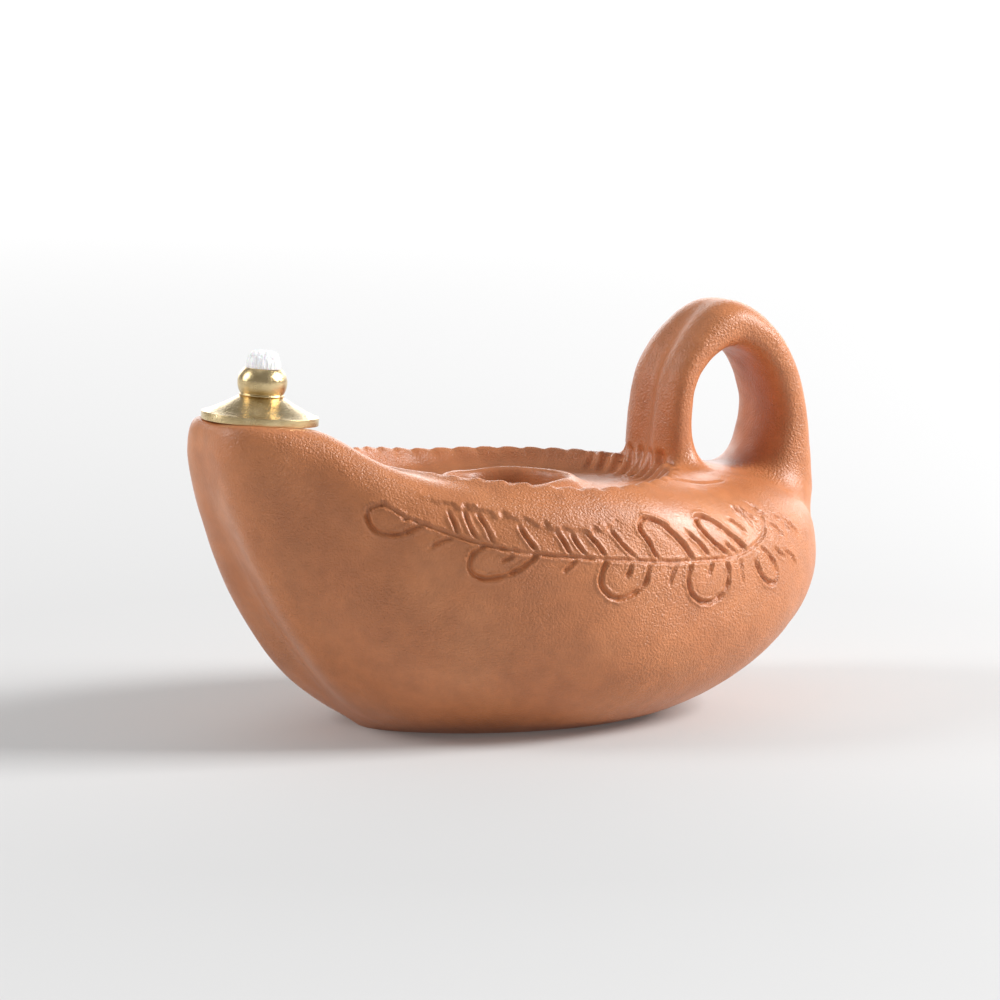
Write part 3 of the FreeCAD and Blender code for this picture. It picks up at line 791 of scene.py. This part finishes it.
def build_tube(material):
    """The tube with the ball turned on its top and a bright neck ring under the ball."""
    radii, heights = along_axis("wick_tube")
    bore, bottom, top = radii.min(), heights.min(), heights.max()
    ball_r = radii.max()
    tube_r = np.median(radii[(heights < -1) & (radii > bore + 0.2)])
    neck = along_axis("wick_disc")[1].max()
    waist = (neck + top) / 2
    outline = [(bore, bottom + 0.4), (bore + 0.3, bottom), (tube_r, bottom), (tube_r, neck)]
    outline += [(tube_r + COLLAR_STEP, neck + 0.06), (tube_r + COLLAR_STEP, neck + 0.3),
                (tube_r + 0.02, neck + 0.42)]
    start, end = -math.acos((tube_r + 0.02) / ball_r), math.acos((bore + 0.08) / ball_r)
    for turn in np.linspace(start, end, 26)[1:]:
        half = top - waist if turn > 0 else waist - neck - 0.42
        height = waist + half * math.sin(turn) / math.sin(end if turn > 0 else -start)
        outline.append((ball_r * math.cos(turn), height))
    outline += [(bore + 0.12, top - 0.02), (bore, top - 0.25)]
    return turned("wick_tube_brass", softened(outline, 0.08), material)


# ---- the wick
# Corners of the wick's lower stretch from the filling hole, and their heights, as in the
# CAD model: above the floor under the nozzle, and its end.
WICK_CORNERS = [(-31.5, 10.3), (-8.0, 8.4)]
WICK_DROP = 15.0         # from the seat down to the nozzle's inner corner
TAIL_TOP = 6.5           # from the tube's mouth down to where the wick's two pieces meet
STRANDS, STRAND_R = 620, 0.085
STRAND_STEPS = np.linspace(0, 1, 6)
SPLAY, GATHER = 0.2, 0.42    # how far outer strands bow out above the mouth, and close at the top
CUT_ROUND = 0.36         # how much lower the outer strands end, as a share of the top's height


def tube(points, radii, sides):
    """Vertices and faces of a closed tube. A radius is a number or a function of the turn."""
    points = np.asarray(points, float)
    along = np.gradient(points, axis=0)
    along /= np.linalg.norm(along, axis=1)[:, None]
    side = np.cross(along[0], (0.3, 1.0, 0.1))
    vertices = []
    for spot, direction, radius in zip(points, along, radii):
        side = side - direction * (side @ direction)
        side /= np.linalg.norm(side)
        other = np.cross(direction, side)
        turn = np.arange(sides) * 2 * math.pi / sides
        ring = radius(turn) if callable(radius) else radius
        vertices.append(spot + np.outer(np.cos(turn) * ring, side) + np.outer(np.sin(turn) * ring, other))
    faces = grid_faces(len(points), sides, closed=False)[:, ::-1].tolist()
    faces.append(list(range(sides))[::-1])
    faces.append([(len(points) - 1) * sides + i for i in range(sides)])
    return np.vstack(vertices), faces


def strand(mouth, top, wick_r):
    """One strand of the wick's top: its course from the tube up to its loose end."""
    spread, turn = math.sqrt(rng.uniform(0.0, 1.0)), rng.uniform(0, 2 * math.pi)
    base_r = (wick_r - 0.12) * spread
    end_h = mouth + (top - mouth) * (1 - CUT_ROUND * spread ** 5) + rng.normal(0, 0.1)
    end_h = min(end_h, top - 0.02)
    lean = rng.normal(0, 0.16, 2)
    course = [(base_r * math.cos(turn), base_r * math.sin(turn), mouth - TAIL_TOP)]
    for t in STRAND_STEPS:
        r = base_r + SPLAY * spread * math.sin(math.pi * min(1, t * 1.15)) - GATHER * spread * t ** 3
        x, y = r * math.cos(turn) + lean[0] * t * t, r * math.sin(turn) + lean[1] * t * t
        course.append((x, y, mouth - 0.5 + (end_h - mouth + 0.5) * t))
    return course


def build_tuft(material):
    """The wick's trimmed top: a soft core under many short upright strands."""
    mouth = along_axis("wick_tube")[1].max()
    top = (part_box("wick")[1].z / MM - SEAT.z) / SEAT_AXIS.z
    wick_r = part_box("wick")[1].y / MM
    levels = np.linspace(mouth - TAIL_TOP - 0.5, top - 0.55, 26)
    dome = np.sqrt(np.clip(1 - ((levels - mouth) / (top - 0.5 - mouth)).clip(0, 1) ** 4, 0.0, 1))
    tubes = [tube([(0, 0, h) for h in levels], [max(0.05, (wick_r - 0.16) * d) for d in dome], 48)]
    thin = [STRAND_R] + [STRAND_R * (1 - 0.55 * t ** 2) for t in STRAND_STEPS]
    tubes += [tube(strand(mouth, top, wick_r), thin, 4) for _ in range(STRANDS)]

    place = np.array(seat_matrix())
    faces, start = [], 0
    for points, quads in tubes:
        faces += [[start + i for i in quad] for quad in quads]
        start += len(points)
    vertices = np.vstack([points for points, _ in tubes]) @ place[:3, :3].T + place[:3, 3]
    return new_object("wick_top", vertices, faces, material)


def build_tail(material):
    """The braided wick below the holder, down the nozzle and along above the floor."""
    wick_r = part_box("wick")[1].y / MM
    mouth = along_axis("wick_tube")[1].max()
    start, corner = SEAT + SEAT_AXIS * (mouth - TAIL_TOP), SEAT - SEAT_AXIS * WICK_DROP
    ends = [Vector((CENTRE_X + x, 0, z)) for x, z in WICK_CORNERS]
    drops = [start, SEAT - SEAT_AXIS * 6, SEAT - SEAT_AXIS * 11]
    slope = [corner.lerp(ends[0], share) for share in (0.16, 0.5, 0.84)]
    course = catmull(drops + slope + [ends[0].lerp(ends[1], share) for share in (0.25, 0.6, 1.0)], 22)
    length = run_length(course)

    def braid(run):
        def radius(turn):
            plait = np.maximum(np.cos(6 * turn + run * 1.9), np.cos(6 * turn - run * 1.9 + 0.5))
            end = 1 - 0.5 * step_up(run, length[-1] - 0.8, length[-1])
            return (wick_r - 0.2 + 0.16 * plait) * end
        return radius

    points, faces = tube(course, [braid(run) for run in length], 60)
    return new_object("wick_tail", points, faces, material)


# ---- materials
CLAY_TONES = ((0.3, (0.54, 0.188, 0.070)), (0.55, (0.60, 0.218, 0.083)), (0.75, (0.645, 0.25, 0.102)))
# The groove tone is painted shade for the scratched grooves; the speck tone colours dark specks.
GROOVE_SHADE_TONE, SPECK_TONE = (0.25, 0.092, 0.042, 1), (0.16, 0.06, 0.03, 1)
BRASS_TONES = ((0.3, (0.62, 0.46, 0.23)), (0.6, (0.79, 0.62, 0.35)), (0.8, (0.88, 0.73, 0.46)))
WICK_TONES = ((0.3, (0.90, 0.90, 0.92)), (0.7, (0.98, 0.98, 0.99)))


class Shader:
    """A small helper that adds and links nodes of one material."""

    def __init__(self, name):
        self.material = bpy.data.materials.new(name)
        self.material.use_nodes = True
        self.tree = self.material.node_tree
        self.surface = self.tree.nodes["Principled BSDF"]

    def add(self, kind, inputs=None, **settings):
        node = self.tree.nodes.new(kind)
        for key, value in settings.items():
            setattr(node, key, value)
        for key, value in (inputs or {}).items():
            if isinstance(value, bpy.types.NodeSocket):
                self.tree.links.new(value, node.inputs[key])
            else:
                node.inputs[key].default_value = value
        return node

    def noise(self, vector, scale, detail=2.0, roughness=0.5):
        return self.add("ShaderNodeTexNoise", {"Vector": vector, "Scale": scale, "Detail": detail,
                                               "Roughness": roughness}).outputs["Fac"]

    def ramp(self, value, *stops):
        node = self.add("ShaderNodeValToRGB", {"Fac": value})
        elements = node.color_ramp.elements
        while len(elements) < len(stops):
            elements.new(0.5)
        for element, (place, colour) in zip(elements, stops):
            element.position = place
            element.color = (*colour, 1) if len(colour) == 3 else colour
        return node.outputs["Color"]

    def times(self, a, b):
        return self.add("ShaderNodeMath", {0: a, 1: b}, operation="MULTIPLY").outputs[0]

    def mix(self, share, a, b, blend="MIX"):
        inputs = {"Factor": share, 6: a, 7: b}
        return self.add("ShaderNodeMix", inputs, data_type="RGBA", blend_type=blend).outputs[2]

    def bump(self, height, strength, distance, before=None):
        inputs = {"Height": height, "Strength": strength, "Distance": distance}
        if before is not None:
            inputs["Normal"] = before
        return self.add("ShaderNodeBump", inputs).outputs["Normal"]

    def attribute(self, name):
        return self.add("ShaderNodeAttribute", attribute_name=name).outputs["Fac"]

    def set(self, **inputs):
        for key, value in inputs.items():
            socket = self.surface.inputs[key.replace("_", " ")]
            if isinstance(value, bpy.types.NodeSocket):
                self.tree.links.new(value, socket)
            else:
                socket.default_value = value


def grey(value):
    """A neutral colour, with its alpha."""
    return (value, value, value, 1)


def clay_material():
    """Satin fired terracotta: mottled colour, orange-peel skin, dark specks in small pits, and painted shade in
    the scratched grooves.
    """
    s = Shader("terracotta")
    place = s.add("ShaderNodeTexCoord").outputs["Object"]
    tone = s.ramp(s.noise(place, 55, 4, 0.6), *CLAY_TONES)
    blotch = s.ramp(s.noise(place, 230, 5, 0.65), (0.35, grey(0.9)), (0.65, grey(1.06)))
    colour = s.mix(1.0, tone, blotch, "MULTIPLY")
    # Painted shade: the scratched grooves are darkened by how deep in them a point lies.
    colour = s.mix(s.times(s.attribute("cavity"), 0.1), colour, GROOVE_SHADE_TONE)
    speck = s.add("ShaderNodeTexVoronoi", {"Vector": place, "Scale": 420.0}).outputs["Distance"]
    spots = s.ramp(speck, (0.0, grey(1)), (0.055, grey(1)), (0.075, grey(0)))
    rare = s.ramp(s.noise(place, 610, 1), (0.60, grey(0)), (0.64, grey(1)))
    speckled = s.times(spots, rare)
    colour = s.mix(s.times(speckled, 0.6), colour, SPECK_TONE)
    patches = s.ramp(s.noise(place, 38), (0.40, grey(0.3)), (0.60, grey(1.0)))
    peel = s.times(s.noise(place, 2300), patches)
    normal = s.bump(s.noise(place, 300), 0.2, 0.0004)
    normal = s.bump(peel, 1.0, 0.00030, normal)
    normal = s.bump(s.noise(place, 5200, 2, 0.6), 0.4, 0.00006, normal)
    normal = s.bump(s.times(speckled, -1.0), 0.8, 0.0002, normal)
    roughness = s.ramp(s.noise(place, 140, 3, 0.6), (0.3, grey(0.32)), (0.7, grey(0.44)))
    s.set(Base_Color=colour, Roughness=roughness, Normal=normal, IOR=1.5)
    s.set(Coat_Weight=0.12, Coat_Roughness=0.3)
    return s.material


def brass_material():
    """Turned brass: rings of tool marks, upright marks on the band, a slightly tarnished tone."""
    s = Shader("turned_brass")
    place = s.add("ShaderNodeTexCoord").outputs["Object"]

    def unrolled(stretch):
        run = s.times(s.attribute("run"), stretch)
        x, y = s.attribute("around_x"), s.attribute("around_y")
        return s.add("ShaderNodeCombineXYZ", {"X": x, "Y": y, "Z": run}).outputs[0]

    rings = s.noise(unrolled(26.0), 1.6, 3, 0.65)
    ticks = s.noise(unrolled(0.02), 60.0)
    tone = s.ramp(s.noise(place, 260, 4, 0.6), *BRASS_TONES)
    roughness = s.ramp(s.noise(place, 480, 3, 0.6), (0.3, grey(0.16)), (0.7, grey(0.3)))
    normal = s.bump(rings, 0.35, 0.00006)
    normal = s.bump(ticks, 0.2, 0.00005, normal)
    s.set(Base_Color=tone, Metallic=1.0, Roughness=roughness, Normal=normal)
    return s.material


def wick_material():
    """White glass-fibre yarn, brightened by a faint painted glow."""
    s = Shader("glass_fibre")
    place = s.add("ShaderNodeTexCoord").outputs["Object"]
    tone = s.ramp(s.noise(place, 900, 3, 0.6), *WICK_TONES)
    normal = s.bump(s.noise(place, 4200, 2, 0.6), 0.4, 0.00008)
    s.set(Base_Color=tone, Roughness=0.75, Normal=normal, Sheen_Weight=0.35, Sheen_Roughness=0.4)
    s.set(Subsurface_Weight=0.25, Subsurface_Scale=0.001)
    # Painted light: a faint white glow brightens the wick.
    s.set(Emission_Color=grey(1.0), Emission_Strength=0.16)
    return s.material


# ---- studio
CAMERA_TURN, CAMERA_RISE = -30.0, 8.4     # degrees round from the lamp's side, and above it
CAMERA_DISTANCE, CAMERA_LENS, SENSOR = 1.0, 189.5, 36.0
CAMERA_TARGET = Vector((CENTRE_X - 1.755, 0, 40.8)) * MM
# Each light's name, place and size in metres, and watts. The back one stands beyond the floor
# that the camera sees, and gives the clay its highlights at grazing angles.
SOFTBOXES = [
    ("softbox_left", (-0.85, 0.45, 0.60), (0.35, 0.6), 5.0),
    ("softbox_right", (0.90, -0.42, 0.62), (0.45, 0.45), 17.5),
    ("softbox_top", (0.0, 0.20, 1.20), (0.6, 0.6), 0.6),
    ("softbox_back", (1.60, 2.75, 0.80), (4.6, 1.2), 52.0),
]
FLOOR_SIDE = 4.0         # half the floor's width in metres
GLOW_FROM, GLOW_TO = (0.15, 0.06), (1.3, 0.62)   # metres from the lamp, and the floor's glow there
WORLD_STRENGTH = 0.28


def put_in_studio(name, data, place):
    """A camera or light at a place in metres, turned towards the lamp."""
    thing = bpy.data.objects.new(name, data)
    bpy.context.scene.collection.objects.link(thing)
    thing.location = place
    thing.rotation_euler = (CAMERA_TARGET - thing.location).to_track_quat("-Z", "Y").to_euler()
    return thing


def build_studio():
    """The camera at the photographer's angle, soft lights, a pale floor and a plain world."""
    turn, rise = math.radians(CAMERA_TURN), math.radians(CAMERA_RISE)
    back = Vector((math.sin(turn) * math.cos(rise), -math.cos(turn) * math.cos(rise), math.sin(rise)))
    camera = bpy.data.cameras.new("camera")
    camera.lens, camera.sensor_width = CAMERA_LENS, SENSOR
    holder = put_in_studio("camera", camera, CAMERA_TARGET + back * CAMERA_DISTANCE)
    bpy.context.scene.camera = holder
    for name, place, size, watts in SOFTBOXES:
        light = bpy.data.lights.new(name, "AREA")
        light.shape, light.size, light.size_y = "RECTANGLE", *size
        light.energy = watts
        put_in_studio(name, light, place)

    floor = bpy.data.meshes.new("floor")
    corners = [(x * FLOOR_SIDE, y * FLOOR_SIDE, 0) for x, y in ((-1, -1), (1, -1), (1, 1), (-1, 1))]
    floor.from_pydata(corners, [], [(0, 1, 2, 3)])
    shader = Shader("pale_glowing_floor")
    place = shader.add("ShaderNodeTexCoord").outputs["Object"]
    away = shader.add("ShaderNodeVectorMath", {0: place}, operation="LENGTH").outputs["Value"]
    glow_range = {"Value": away, 1: GLOW_FROM[0], 2: GLOW_TO[0], 3: GLOW_FROM[1], 4: GLOW_TO[1]}
    glow = shader.add("ShaderNodeMapRange", glow_range).outputs["Result"]
    # Painted light: the floor glows, faintly beside the lamp and more away from it, so that the far floor shows
    # white.
    shader.set(Base_Color=grey(0.6), Roughness=0.9, Emission_Color=grey(1.0), Emission_Strength=glow)
    floor.materials.append(shader.material)
    ground = bpy.data.objects.new("floor", floor)
    bpy.context.scene.collection.objects.link(ground)

    world = bpy.data.worlds.new("studio")
    world.use_nodes = True
    backdrop = world.node_tree.nodes["Background"].inputs
    backdrop["Color"].default_value, backdrop["Strength"].default_value = grey(1.0), WORLD_STRENGTH
    bpy.context.scene.world = world
    bpy.context.scene.view_settings.view_transform = "Standard"


# ---- the lamp
def build_lamp():
    """Every piece of the lamp, each but the wick's tail on its body."""
    clay, brass, white = clay_material(), brass_material(), wick_material()
    outer, normals, cavity, inner_lower, inner_upper = build_clay()
    low, high = slice(0, HULL_ROWS + 1), slice(HULL_ROWS, None)
    lower = grid_piece("lower_bowl_clay", outer[low], normals[low], cavity[low],
                       inner_lower[::-1], clay, poles=True)
    upper = grid_piece("upper_shell_clay", outer[high], normals[high], cavity[high],
                       inner_upper[::-1], clay, poles=False)
    faces = grid_faces(len(outer), COLUMNS, closed=False).tolist()
    tree = BVHTree.FromPolygons([Vector(p) for p in outer.reshape(-1, 3)], faces)
    handle = build_handle(tree, clay)
    finish_piece(lower, "root", "clay", "lower_bowl")
    finish_piece(upper, "root", "clay", "upper_shell")
    finish_piece(handle, "root", "clay", "handle")
    finish_piece(build_disc(brass), "wick_holder", "brass", "wick_disc")
    finish_piece(build_tube(brass), "wick_holder", "brass", "wick_tube")
    finish_piece(build_tuft(white), "wick", "wick", "wick")
    tail = build_tail(white)
    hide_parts("wick")
    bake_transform(tail)


build_studio()
build_lamp()
